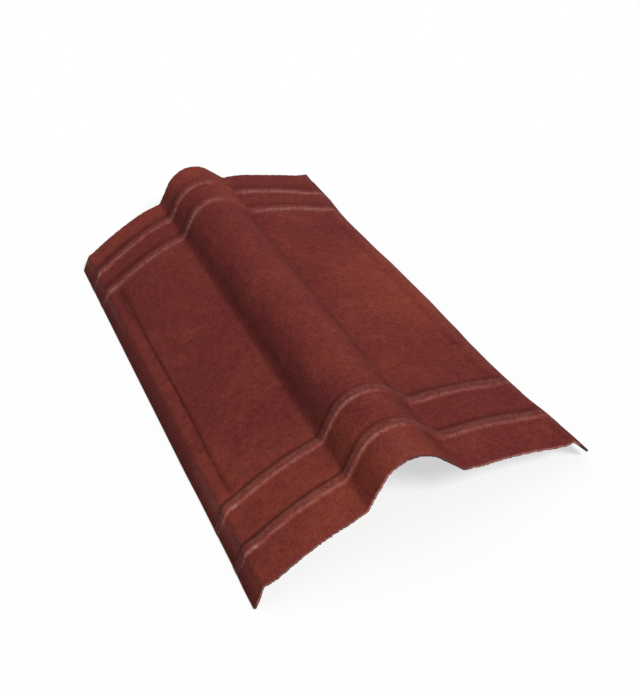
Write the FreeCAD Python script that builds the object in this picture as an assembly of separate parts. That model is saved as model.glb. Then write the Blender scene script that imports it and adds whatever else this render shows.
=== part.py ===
import FreeCAD, Part
import math
import os

# A ridge cap for corrugated roofing, pressed from one flat sheet of bituminous fibre board.
# It lies crown up on the bottom edges of its two lips.
# X runs across the ridge, Y along it and Z up.
# The origin is on the floor, under the middle of the crown.
# Sizes are in millimetres and angles in degrees.
# The section is drawn on the upper face, and each slope is a fall away from the crown.

# Sheet
SHEET_LENGTH = 1000.0
SHEET_WIDTH = 485.0  # over the bottom edges of the two lips, ribs not counted
THICKNESS = 3.0

# Crown, the round roll along the middle
CROWN_INNER_RADIUS = 52.0
CROWN_RISE = 53.5  # from the inner end of a wing to the top of the crown
FLANK_SLOPE = 51.5

# Wings, the wide and slightly arched sides that lie over the roofing sheets
WING_START_SLOPE = 8.0
WING_END_SLOPE = 25.5

# Shoulder, the flatter strip between the crease and the fold of the lip
SHOULDER_SLOPE = 14.0
SHOULDER_WIDTH = 21.5

# Lip, turned down along the outer edge
LIP_SLOPE = 57.0
LIP_WIDTH = 35.5
FOLD_INNER_RADIUS = 7.0

# The two hollow bends of each side, measured on the crest of a rib that crosses them
VALLEY_RADIUS_OVER_RIB = 9.0
CREASE_RADIUS_OVER_RIB = 3.5

# Ribs, pressed up from below across the whole sheet near both ends
RIBS_PER_END = 2
FIRST_RIB_INSET = 76.0  # from the end of the sheet to the middle of the first rib
RIB_PITCH = 86.0
RIB_HEIGHT = 3.5
RIB_CREST_WIDTH = 12.0
RIB_SIDE_RUN = 7.0
RIB_FOOT_RADIUS = 2.0
RIB_CREST_INNER_RADIUS = 1.5

# Radii on the upper face
CROWN_RADIUS = CROWN_INNER_RADIUS + THICKNESS
FOLD_RADIUS = FOLD_INNER_RADIUS + THICKNESS
VALLEY_RADIUS = VALLEY_RADIUS_OVER_RIB + RIB_HEIGHT
CREASE_RADIUS = CREASE_RADIUS_OVER_RIB + RIB_HEIGHT

ALONG = FreeCAD.Vector(0, 1, 0)
RIGHT_ANGLE = 90.0


def sine(degrees):
    return math.sin(math.radians(degrees))


def cosine(degrees):
    return math.cos(math.radians(degrees))


def corner_setback(radius, turn):
    """Length that a rounded corner takes from each of its two straight sides."""
    return radius * math.tan(math.radians(abs(turn)) / 2)


# Lengthwise outline

def polar(centre, radius, angle):
    """A point of the plane X = 0, where centre is (along, up) and the angle turns from +Y to +Z."""
    return FreeCAD.Vector(0, centre[0] + radius * cosine(angle), centre[1] + radius * sine(angle))


def arc(centre, radius, start, end):
    middle = (start + end) / 2
    return Part.Arc(*[polar(centre, radius, angle) for angle in (start, middle, end)]).toShape()


def line(start, end):
    return Part.LineSegment(start, end).toShape()


def rib_side_angle():
    """Slope of the straight stretch between the foot arc and the crest arc of a rib."""
    radii = RIB_FOOT_RADIUS + RIB_CREST_INNER_RADIUS + THICKNESS
    straight = math.sqrt(RIB_SIDE_RUN**2 + RIB_HEIGHT**2 - 2 * RIB_HEIGHT * radii)
    return math.degrees(math.atan2(RIB_HEIGHT - radii, RIB_SIDE_RUN) - math.atan2(-radii, straight))


def rib_edges(middle, depth):
    """One rib along +Y, on the face that lies depth below the upper face."""
    side = rib_side_angle()
    foot = (middle - RIB_CREST_WIDTH / 2 - RIB_SIDE_RUN, RIB_FOOT_RADIUS)
    foot_radius = RIB_FOOT_RADIUS + depth
    crest = (middle - RIB_CREST_WIDTH / 2, RIB_HEIGHT - THICKNESS - RIB_CREST_INNER_RADIUS)
    crest_radius = RIB_CREST_INNER_RADIUS + THICKNESS - depth

    foot_end = side - RIGHT_ANGLE
    crest_start = side + RIGHT_ANGLE
    rise = [
        arc(foot, foot_radius, -RIGHT_ANGLE, foot_end),
        line(polar(foot, foot_radius, foot_end), polar(crest, crest_radius, crest_start)),
        arc(crest, crest_radius, crest_start, RIGHT_ANGLE),
    ]
    top = polar(crest, crest_radius, RIGHT_ANGLE)
    flat = line(top, top + ALONG * RIB_CREST_WIDTH)
    fall = [edge.mirror(ALONG * middle, ALONG) for edge in reversed(rise)]
    return rise + [flat] + fall


def rib_middles():
    insets = [FIRST_RIB_INSET + index * RIB_PITCH for index in range(RIBS_PER_END)]
    one_end = [SHEET_LENGTH / 2 - inset for inset in insets]
    return sorted(one_end + [-middle for middle in one_end])


def face_edges(depth):
    """The whole line of one face of the sheet, from its -Y end to its +Y end."""
    half_rib = RIB_CREST_WIDTH / 2 + RIB_SIDE_RUN
    edges = []
    here = -SHEET_LENGTH / 2
    for middle in rib_middles():
        edges.append(line(FreeCAD.Vector(0, here, -depth), FreeCAD.Vector(0, middle - half_rib, -depth)))
        edges.extend(rib_edges(middle, depth))
        here = middle + half_rib
    edges.append(line(FreeCAD.Vector(0, here, -depth), FreeCAD.Vector(0, SHEET_LENGTH / 2, -depth)))
    return edges


def cut_through_sheet():
    """The sheet cut along the ridge, as a face with its upper line at Z = 0."""
    ends = [
        line(FreeCAD.Vector(0, end, 0), FreeCAD.Vector(0, end, -THICKNESS))
        for end in (-SHEET_LENGTH / 2, SHEET_LENGTH / 2)
    ]
    upper = face_edges(0)
    lower = face_edges(THICKNESS)
    return Part.Face(Part.Wire(upper + [ends[1]] + lower[::-1] + [ends[0]]))


# Crosswise path

class Path:
    """Walks down one side on the upper face, sweeping the cut through the sheet as it goes."""

    def __init__(self, cut, x=0.0, z=0.0, slope=0.0):
        self.cut = cut
        self.x = x
        self.z = z
        self.slope = slope
        self.solids = []

    def placed_cut(self):
        turned = FreeCAD.Rotation(ALONG, self.slope)
        placement = FreeCAD.Placement(FreeCAD.Vector(self.x, 0, self.z), turned)
        return self.cut.transformed(placement.toMatrix())

    def run(self, length):
        """Go straight on."""
        step = FreeCAD.Vector(length * cosine(self.slope), 0, -length * sine(self.slope))
        self.solids.append(self.placed_cut().extrude(step))
        self.x += step.x
        self.z += step.z

    def bend(self, radius, new_slope):
        """Turn to a new slope: downwards round a centre below, or upwards round one above."""
        side = math.copysign(radius, new_slope - self.slope)
        centre = FreeCAD.Vector(self.x - side * sine(self.slope), 0, self.z - side * cosine(self.slope))
        self.solids.append(self.placed_cut().revolve(centre, ALONG, new_slope - self.slope))
        self.x = centre.x + side * sine(new_slope)
        self.z = centre.z + side * cosine(new_slope)
        self.slope = new_slope


def bend_reach(radius, slope, new_slope):
    """How far a bend goes across."""
    return radius * abs(sine(new_slope) - sine(slope))


def bend_drop(radius, slope, new_slope):
    """How far a bend goes down."""
    return radius * abs(cosine(new_slope) - cosine(slope))


def flank_length():
    """What is left of the crown's rise between its round top and the valley."""
    round_top = bend_drop(CROWN_RADIUS, 0, FLANK_SLOPE)
    valley = bend_drop(VALLEY_RADIUS, FLANK_SLOPE, WING_START_SLOPE)
    return (CROWN_RISE - round_top - valley) / sine(FLANK_SLOPE)


def shoulder_length():
    crease = corner_setback(CREASE_RADIUS, WING_END_SLOPE - SHOULDER_SLOPE)
    return SHOULDER_WIDTH - crease - corner_setback(FOLD_RADIUS, LIP_SLOPE - SHOULDER_SLOPE)


def lip_length():
    return LIP_WIDTH - corner_setback(FOLD_RADIUS, LIP_SLOPE - SHOULDER_SLOPE)


def wing_radius():
    """The arch that makes a wing as wide as the rest of the section leaves it."""
    others = (
        bend_reach(CROWN_RADIUS, 0, FLANK_SLOPE)
        + flank_length() * cosine(FLANK_SLOPE)
        + bend_reach(VALLEY_RADIUS, FLANK_SLOPE, WING_START_SLOPE)
        + bend_reach(CREASE_RADIUS, WING_END_SLOPE, SHOULDER_SLOPE)
        + shoulder_length() * cosine(SHOULDER_SLOPE)
        + bend_reach(FOLD_RADIUS, SHOULDER_SLOPE, LIP_SLOPE)
        + lip_length() * cosine(LIP_SLOPE)
    )
    return (SHEET_WIDTH / 2 - others) / (sine(WING_END_SLOPE) - sine(WING_START_SLOPE))


def ridge_cap():
    """The whole sheet as one solid, standing on the lower corners of its two lips."""
    side = Path(cut_through_sheet())
    side.bend(CROWN_RADIUS, FLANK_SLOPE)
    side.run(flank_length())
    side.bend(VALLEY_RADIUS, WING_START_SLOPE)
    side.bend(wing_radius(), WING_END_SLOPE)
    side.bend(CREASE_RADIUS, SHOULDER_SLOPE)
    side.run(shoulder_length())
    side.bend(FOLD_RADIUS, LIP_SLOPE)
    side.run(lip_length())

    across = FreeCAD.Vector(1, 0, 0)
    other_side = [solid.mirror(FreeCAD.Vector(), across) for solid in side.solids]
    sheet = side.solids[0].multiFuse(side.solids[1:] + other_side).removeSplitter()
    lowest_corner = side.z - THICKNESS * cosine(LIP_SLOPE)
    sheet.translate(FreeCAD.Vector(0, 0, -lowest_corner))
    return sheet


os.makedirs("parts", exist_ok=True)
sheet = ridge_cap()
print("solids", len(sheet.Solids), "valid", sheet.isValid(), "volume", round(sheet.Volume / 1e6, 4), "litres")
print("wing radius", round(wing_radius(), 1), "flank", round(flank_length(), 1), "box", sheet.BoundBox)
sheet.Solids[0].exportStep("parts/ridge_cap.step")
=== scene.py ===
"""The looks of a roof ridge cap, pressed from one sheet of bituminous fibre board.

The section of the upper face is drawn as a path, mirrored, drawn out along the ridge, pressed
into its ribs and then given its thickness. X runs across the ridge, Y along it and Z up.
Lengths are in metres and slopes in degrees. The near end is the one towards -Y, and left is -X.
"""

import logging
import math
from dataclasses import dataclass, field, replace
from enum import Enum
from functools import cached_property

import bmesh
import bpy
from mathutils import Matrix, Vector, noise


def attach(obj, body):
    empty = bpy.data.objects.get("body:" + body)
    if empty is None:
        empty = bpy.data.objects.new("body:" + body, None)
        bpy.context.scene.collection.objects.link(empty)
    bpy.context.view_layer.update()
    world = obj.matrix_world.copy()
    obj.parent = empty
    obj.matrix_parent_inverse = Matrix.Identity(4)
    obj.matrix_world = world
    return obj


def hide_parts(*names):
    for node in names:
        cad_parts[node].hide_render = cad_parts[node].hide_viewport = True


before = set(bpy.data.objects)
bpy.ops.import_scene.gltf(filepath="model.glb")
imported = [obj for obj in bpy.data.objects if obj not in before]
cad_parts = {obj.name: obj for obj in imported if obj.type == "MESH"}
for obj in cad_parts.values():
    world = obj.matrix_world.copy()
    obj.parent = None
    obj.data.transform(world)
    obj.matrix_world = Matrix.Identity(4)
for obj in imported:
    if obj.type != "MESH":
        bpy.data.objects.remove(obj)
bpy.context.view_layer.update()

LOG = logging.getLogger("ridge_cap")
WHITE = (1.0, 1.0, 1.0, 1.0)
SEED_SHIFT = (1.0, 0.7, 1.3)
TOUCHING = 1e-6

Colour = tuple[float, float, float]
Curve = tuple[tuple[float, float], ...]


class Side(Enum):
    """The kinds of surface that the sheet has, each with its place among the material slots."""

    COATED = 0
    BARE = 1
    CUT = 2


class Layer(Enum):
    """Names of the values that the mesh carries for its finishes."""

    # Wear and painted highlights.
    WORN_AND_LIT = "worn"
    # Soiling and painted shade.
    GRIME_AND_SHADE = "grime"
    DEPTH = "depth"


def sine(degrees: float) -> float:
    """Return the sine of an angle in degrees."""
    return math.sin(math.radians(degrees))


def cosine(degrees: float) -> float:
    """Return the cosine of an angle in degrees."""
    return math.cos(math.radians(degrees))


def smooth(value: float, low: float, high: float) -> float:
    """Ease from 0 to 1 between two limits.

    Args:
        value: Where to read the curve.
        low: The value at which the result is 0.
        high: The value at which the result is 1; it may lie below low.

    Returns:
        The eased value, held at 0 and 1 outside the limits.
    """
    share = min(1.0, max(0.0, (value - low) / (high - low)))
    return share * share * (3.0 - 2.0 * share)


def bump(distance: float, width: float) -> float:
    """Return a rounded bump that is 1 at no distance and nearly 0 at twice the width."""
    return math.exp(-((distance / width) ** 2))


def rows_between(start: float, stop: float, step: float) -> list[float]:
    """Divide a stretch evenly.

    Args:
        start: Its first place, which is left out.
        stop: Its last place, which is kept.
        step: About how far apart the places are.

    Returns:
        The places, in order.
    """
    count = max(1, round((stop - start) / step))
    return [start + (stop - start) * index / count for index in range(1, count + 1)]


def eased(curve: Curve, place: float) -> float:
    """Ease from each node of a curve to the next.

    Args:
        curve: The places, in order, each with its value.
        place: Where to read the curve.

    Returns:
        The value there, held at the ends.
    """
    step = max(0, min(len(curve) - 2, sum(node[0] < place for node in curve) - 1))
    (start, low), (stop, high) = curve[step : step + 2]
    return low + (high - low) * smooth(place, start, stop)


@dataclass(frozen=True)
class Ramp:
    """A value that eases from 0 at one place to its full size at another, and keeps it from there on."""

    start: float
    stop: float
    full: float = 1.0

    def at(self, place: float) -> float:
        """Return the value at a place."""
        return self.full * smooth(place, self.start, self.stop)


@dataclass(frozen=True)
class Band:
    """A value that is 1 along a stretch and eases to 0 at both of its ends."""

    start: float
    full_from: float
    full_to: float
    stop: float

    def at(self, place: float) -> float:
        """Return the value at a place."""
        return smooth(place, self.start, self.full_from) * smooth(place, self.stop, self.full_to)


@dataclass(frozen=True)
class Streak:
    """A value that is full along a line and fades to both sides of it."""

    centre: float
    width: float
    full: float = 1.0

    def at(self, place: float) -> float:
        """Return the value at a place."""
        return self.full * bump(place - self.centre, self.width)


@dataclass(frozen=True)
class Waves:
    """Smooth waves over the face, with their number in a metre across the ridge and along it."""

    across: float
    along: float
    seed: float
    height: float

    def at(self, place: Vector) -> float:
        """Return the height of the waves at a place."""
        return self.height * noise.noise(Vector((place.x * self.across, place.y * self.along, self.seed)))


@dataclass(frozen=True)
class Tears:
    """Tears along a cut end, with their number in a metre; the seed makes the two ends differ."""

    scale: float
    seed: float
    depth: float

    def at(self, place: Vector, end: float) -> float:
        """Return how much deeper than usual the near end, -1, or the far end, 1, is torn at a place."""
        spot = Vector((place.x * self.scale, end * self.seed, place.z * self.scale))
        return self.depth * noise.noise(spot)


# Finishes


@dataclass(frozen=True)
class Cloud:
    """A noise over the piece's own coordinates, with its number of features in a metre."""

    scale: float
    detail: float = 3.0
    roughness: float = 0.5
    seed: float = 0.0


@dataclass(frozen=True)
class Span:
    """Maps a pattern between two of its values to another range, held at its ends."""

    low: float
    high: float
    start: float = 0.0
    stop: float = 1.0


class Wiring:
    """Adds nodes to a material and links them."""

    def __init__(self, name: str) -> None:
        """Start a material with an empty node tree.

        Args:
            name: The material's name.
        """
        self.material = bpy.data.materials.new(name)
        self.material.use_nodes = True
        self.tree = self.material.node_tree
        self.tree.nodes.clear()
        self.place = self.add("ShaderNodeTexCoord").outputs["Object"]

    def add(self, kind: str, **settings: object) -> bpy.types.Node:
        """Add a node and set its properties.

        Args:
            kind: Blender's name for the node.
            settings: Properties of the node by name.

        Returns:
            The node.
        """
        node = self.tree.nodes.new(kind)
        for name, value in settings.items():
            setattr(node, name, value)
        return node

    def feed(self, socket: bpy.types.NodeSocket, value: object) -> None:
        """Link an output to a socket, or set the socket to a plain value.

        Args:
            socket: The input.
            value: An output, or the plain value.
        """
        if isinstance(value, bpy.types.NodeSocket):
            self.tree.links.new(value, socket)
        else:
            socket.default_value = value

    def clouds(self, cloud: Cloud) -> bpy.types.NodeSocket:
        """Add a noise over the object's own coordinates.

        Args:
            cloud: Its scale, its finer octaves and how strong they are; the seed shifts it to another place.

        Returns:
            The noise, from 0 to 1 and mostly near 0.5.
        """
        mapping = self.add("ShaderNodeMapping")
        mapping.inputs["Location"].default_value = tuple(cloud.seed * share for share in SEED_SHIFT)
        self.feed(mapping.inputs["Vector"], self.place)
        node = self.add("ShaderNodeTexNoise")
        self.feed(node.inputs["Vector"], mapping.outputs["Vector"])
        node.inputs["Scale"].default_value = cloud.scale
        node.inputs["Detail"].default_value = cloud.detail
        node.inputs["Roughness"].default_value = cloud.roughness
        return node.outputs["Fac"]

    def ramp(self, value: object, span: Span) -> bpy.types.NodeSocket:
        """Map a pattern to another range.

        Args:
            value: The pattern.
            span: Its limits and the range that they are mapped to.

        Returns:
            The mapped pattern.
        """
        node = self.add("ShaderNodeMapRange", interpolation_type="SMOOTHSTEP")
        limits = {"From Min": span.low, "From Max": span.high, "To Min": span.start, "To Max": span.stop}
        for name, number in limits.items():
            node.inputs[name].default_value = number
        self.feed(node.inputs["Value"], value)
        return node.outputs["Result"]

    def maths(self, operation: str, *values: object) -> bpy.types.NodeSocket:
        """Combine values by one of Blender's operations.

        Args:
            operation: Blender's name for it.
            values: The values or the outputs that give them, in order.

        Returns:
            The result.
        """
        node = self.add("ShaderNodeMath", operation=operation)
        for socket, value in zip(node.inputs, values):
            self.feed(socket, value)
        return node.outputs[0]

    def blend(self, share: object, first: object, second: object) -> bpy.types.NodeSocket:
        """Blend two colours.

        Args:
            share: How much of the second colour is taken.
            first: A colour or the output that gives it.
            second: A colour or the output that gives it.

        Returns:
            The blended colour.
        """
        node = self.add("ShaderNodeMix", data_type="RGBA", blend_type="MIX")
        self.feed(node.inputs["Factor"], share)
        for socket, value in ((node.inputs[6], first), (node.inputs[7], second)):
            self.feed(socket, (*value, 1.0) if isinstance(value, tuple) else value)
        return node.outputs[2]

    def carried(self, layer: Layer) -> bpy.types.NodeSocket:
        """Read a value that the mesh carries."""
        return self.add("ShaderNodeAttribute", attribute_name=layer.value).outputs["Fac"]

    def relief(self, height: object, depth: float, below: object = None) -> bpy.types.NodeSocket:
        """Turn a height pattern into a bump.

        Args:
            height: The pattern, from 0 to 1.
            depth: How far apart 0 and 1 lie, in metres.
            below: Another bump that this one is laid over.

        Returns:
            The normal.
        """
        node = self.add("ShaderNodeBump")
        node.inputs["Strength"].default_value = 1.0
        node.inputs["Distance"].default_value = depth
        self.feed(node.inputs["Height"], height)
        if below is not None:
            self.feed(node.inputs["Normal"], below)
        return node.outputs["Normal"]

    def finish(
        self, colour: object, roughness: object, normal: object, specular: float
    ) -> bpy.types.Material:
        """Close the tree with a matte shader.

        Args:
            colour: The base colour.
            roughness: The roughness.
            normal: The bumped normal.
            specular: The specular level.

        Returns:
            The material.
        """
        shader = self.add("ShaderNodeBsdfPrincipled")
        self.feed(shader.inputs["Base Color"], colour)
        self.feed(shader.inputs["Roughness"], roughness)
        self.feed(shader.inputs["Normal"], normal)
        shader.inputs["Specular IOR Level"].default_value = specular
        output = self.add("ShaderNodeOutputMaterial")
        self.tree.links.new(shader.outputs["BSDF"], output.inputs["Surface"])
        return self.material


@dataclass(frozen=True)
class Patch:
    """A patch where the paint has weathered, seen from above."""

    across: float
    along: float
    width: float
    length: float
    strength: float
    full_from: float = 0.7

    def share(self, wires: Wiring) -> bpy.types.NodeSocket:
        """Add the patch as a soft spot that is strongest in its middle.

        Args:
            wires: The material that gets it.

        Returns:
            How strong the patch is.
        """
        scale_x, scale_y = 2 / self.width, 2 / self.length
        mapping = wires.add("ShaderNodeMapping")
        wires.feed(mapping.inputs["Vector"], wires.place)
        mapping.inputs["Scale"].default_value = (scale_x, scale_y, 0.0)
        mapping.inputs["Location"].default_value = (-self.across * scale_x, -self.along * scale_y, 0.0)
        spot = wires.add("ShaderNodeTexGradient", gradient_type="SPHERICAL")
        wires.feed(spot.inputs["Vector"], mapping.outputs["Vector"])
        return wires.ramp(spot.outputs["Fac"], Span(0.0, self.full_from, 0.0, self.strength))


@dataclass(frozen=True)
class CoatedBoard:
    """The weather side: matte brick red paint, sunk into the felted grain of the board."""

    red: Colour = (0.165, 0.0290, 0.0238)
    plum: Colour = (0.1430, 0.0236, 0.0222)
    rust: Colour = (0.233, 0.0450, 0.0290)
    # Pale colour for the grain, for wear and for painted highlights.
    worn: Colour = (0.30, 0.166, 0.150)
    # Dark colour for the grain, for soiling and for painted shade.
    grime: Colour = (0.028, 0.0054, 0.0042)
    specular: float = 0.05

    rusty_patches: tuple[Patch, ...] = (
        Patch(-0.115, -0.470, 0.26, 0.28, 0.85),
        Patch(-0.15, -0.360, 0.28, 0.26, 0.60),
        Patch(-0.045, -0.42, 0.06, 0.24, 0.85),
        Patch(-0.205, -0.300, 0.10, 0.26, 0.70),
        Patch(-0.006, -0.485, 0.14, 0.17, 1.00),
        Patch(0.20, 0.00, 0.25, 0.44, 0.75),
        Patch(0.00, -0.12, 0.11, 0.80, 0.28),
        Patch(0.045, 0.42, 0.05, 0.24, 0.60),
        Patch(-0.145, 0.490, 0.30, 0.13, 0.65),
        Patch(0.00, 0.490, 0.14, 0.13, 0.80),
    )
    dull_patches: tuple[Patch, ...] = (
        Patch(0.15, -0.36, 0.30, 0.26, 0.6),
        Patch(0.15, 0.45, 0.28, 0.14, 0.7),
        Patch(0.16, 0.22, 0.20, 0.16, 0.4),
        Patch(-0.19, 0.28, 0.16, 0.24, 0.7),
        Patch(-0.15, 0.375, 0.17, 0.11, 0.8),
        Patch(0.00, 0.14, 0.12, 0.26, 0.6),
        Patch(-0.02, 0.37, 0.06, 0.12, 0.6),
    )
    # Painted shade: darker patches along the right valley.
    right_valley_shade_patches: tuple[Patch, ...] = (
        Patch(0.045, -0.40, 0.05, 0.34, 0.13),
        Patch(0.058, 0.13, 0.06, 0.30, 0.08),
    )
    patch_edges: Span = Span(0.25, 0.60, 0.45, 1.0)

    mottle: Cloud = Cloud(9.0, 5.0, 0.6)
    mottle_red: Span = Span(0.36, 0.62)
    rust_clouds: Cloud = Cloud(22.0, 4.0, 0.6, 3.0)
    rust_share: Span = Span(0.48, 0.72, 0.0, 0.45)
    coarse_grain: Cloud = Cloud(110.0, 3.0, 0.6, 8.0)
    coarse_dark: Span = Span(0.32, 0.52, 0.22, 0.0)
    coarse_pale: Span = Span(0.52, 0.74, 0.0, 0.07)
    grain: Cloud = Cloud(330.0, 4.0, 0.75, 1.0)
    grain_dark: Span = Span(0.32, 0.52, 0.42, 0.0)
    grain_pale: Span = Span(0.54, 0.76, 0.0, 0.16)
    grain_roughness: Span = Span(0.3, 0.7, 0.92, 0.76)
    dark_clouds: Cloud = Cloud(60.0, 4.0, 0.7, 5.0)
    dark_cloud_share: Span = Span(0.25, 0.65, 0.65, 1.0)
    flecks: Cloud = Cloud(150.0, 4.0, 0.7, 7.0)
    fleck_share: Span = Span(0.38, 0.58, 0.15, 1.0)
    felt: Cloud = Cloud(520.0, 3.0, 0.7, 2.0)
    felt_depth: float = 0.00045
    pits: Cloud = Cloud(240.0, 2.0, 0.6, 4.0)
    pit_walls: Span = Span(0.30, 0.46)
    pit_depth: float = 0.00030

    def _patches(
        self, wires: Wiring, patches: tuple[Patch, ...], cloud: bpy.types.NodeSocket
    ) -> bpy.types.NodeSocket:
        """Join patches and break up their edges with a cloud pattern.

        Args:
            wires: The material that gets them.
            patches: The patches.
            cloud: The pattern.

        Returns:
            How strong the patches are.
        """
        joined: object = 0.0
        for patch in patches:
            joined = wires.maths("MAXIMUM", joined, patch.share(wires))
        return wires.maths("MULTIPLY", joined, wires.ramp(cloud, self.patch_edges))

    def material(self) -> bpy.types.Material:
        """Build the material.

        Returns:
            The painted finish.
        """
        wires = Wiring("coated_board")
        mottle = wires.clouds(self.mottle)
        rust_clouds = wires.clouds(self.rust_clouds)
        colour = wires.blend(wires.ramp(mottle, self.mottle_red), self.plum, self.red)
        colour = wires.blend(wires.ramp(rust_clouds, self.rust_share), colour, self.rust)
        colour = wires.blend(self._patches(wires, self.dull_patches, mottle), colour, self.plum)
        colour = wires.blend(self._patches(wires, self.rusty_patches, rust_clouds), colour, self.rust)
        colour = wires.blend(self._patches(wires, self.right_valley_shade_patches, mottle), colour, self.grime)

        coarse = wires.clouds(self.coarse_grain)
        grain = wires.clouds(self.grain)
        for pattern, dark, pale in (
            (coarse, self.coarse_dark, self.coarse_pale),
            (grain, self.grain_dark, self.grain_pale),
        ):
            colour = wires.blend(wires.ramp(pattern, dark), colour, self.grime)
            colour = wires.blend(wires.ramp(pattern, pale), colour, self.worn)

        # Painted shade behind the ribs and in the creases, valleys and lips, with some soiling, broken up by
        # clouds.
        dark_clouds = wires.ramp(wires.clouds(self.dark_clouds), self.dark_cloud_share)
        colour = wires.blend(wires.maths("MULTIPLY", wires.carried(Layer.GRIME_AND_SHADE), dark_clouds), colour, self.grime)
        # Wear and painted highlights on the ribs' near sides, their knees and the folds.
        flecks = wires.ramp(wires.clouds(self.flecks), self.fleck_share)
        colour = wires.blend(wires.maths("MULTIPLY", wires.carried(Layer.WORN_AND_LIT), flecks), colour, self.worn)

        normal = wires.relief(wires.clouds(self.felt), self.felt_depth)
        normal = wires.relief(wires.ramp(wires.clouds(self.pits), self.pit_walls), self.pit_depth, normal)
        return wires.finish(colour, wires.ramp(grain, self.grain_roughness), normal, self.specular)


@dataclass(frozen=True)
class BareBoard:
    """The underside: dark board with its felted grain, not painted."""

    board: Colour = (0.040, 0.0165, 0.0145)
    dusty: Colour = (0.090, 0.038, 0.033)
    specular: float = 0.2

    patches: Cloud = Cloud(9.0, 4.0, 0.6, 11.0)
    patch_share: Span = Span(0.35, 0.70, 0.10, 0.75)
    grain: Cloud = Cloud(300.0, 4.0, 0.75, 12.0)
    grain_share: Span = Span(0.35, 0.70, 0.0, 0.4)
    grain_roughness: Span = Span(0.3, 0.7, 0.95, 0.80)
    grain_depth: float = 0.0004
    sieve_marks: float = 420.0
    sieve_depth: float = 0.0005

    def material(self) -> bpy.types.Material:
        """Build the material.

        Returns:
            The unpainted finish.
        """
        wires = Wiring("bare_board")
        patches = wires.ramp(wires.clouds(self.patches), self.patch_share)
        colour = wires.blend(patches, self.board, self.dusty)
        grain = wires.clouds(self.grain)
        colour = wires.blend(wires.ramp(grain, self.grain_share), colour, self.dusty)
        sieve = wires.add("ShaderNodeTexVoronoi", feature="F1", distance="EUCLIDEAN")
        wires.feed(sieve.inputs["Vector"], wires.place)
        sieve.inputs["Scale"].default_value = self.sieve_marks
        normal = wires.relief(sieve.outputs["Distance"], self.sieve_depth)
        normal = wires.relief(grain, self.grain_depth, normal)
        return wires.finish(colour, wires.ramp(grain, self.grain_roughness), normal, self.specular)


@dataclass(frozen=True)
class CutBoard:
    """The rough cut edge: pale torn fibre below the paint, darker along its bottom."""

    pale: Colour = (0.38, 0.145, 0.125)
    fibre: Colour = (0.110, 0.034, 0.029)
    # Colour for painted shade on the cut edge: the lips' shade carried onto it, and the bottom of the near
    # end.
    edge_shade: Colour = (0.030, 0.0100, 0.0085)
    roughness: float = 0.92
    specular: float = 0.05

    layers: Cloud = Cloud(160.0, 4.0, 0.7, 21.0)
    layer_unevenness: float = 0.8
    fibre_depth: Span = Span(0.85, 1.35)
    grain: Cloud = Cloud(600.0, 3.0, 0.8, 22.0)
    grain_share: Span = Span(0.35, 0.60, 0.40, 0.0)
    grain_depth: float = 0.0004
    edge_shade_share: Span = Span(0.15, 0.50, 0.0, 0.9)

    def material(self) -> bpy.types.Material:
        """Build the material.

        Returns:
            The finish of the cut edges.
        """
        wires = Wiring("cut_board")
        layers = wires.clouds(self.layers)
        depth = wires.maths("MULTIPLY_ADD", layers, self.layer_unevenness, wires.carried(Layer.DEPTH))
        colour = wires.blend(wires.ramp(depth, self.fibre_depth), self.pale, self.fibre)
        grain = wires.clouds(self.grain)
        colour = wires.blend(wires.ramp(grain, self.grain_share), colour, self.fibre)
        colour = wires.blend(wires.ramp(wires.carried(Layer.GRIME_AND_SHADE), self.edge_shade_share), colour, self.edge_shade)
        return wires.finish(colour, self.roughness, wires.relief(grain, self.grain_depth), self.specular)


# The true form of the sheet


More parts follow.
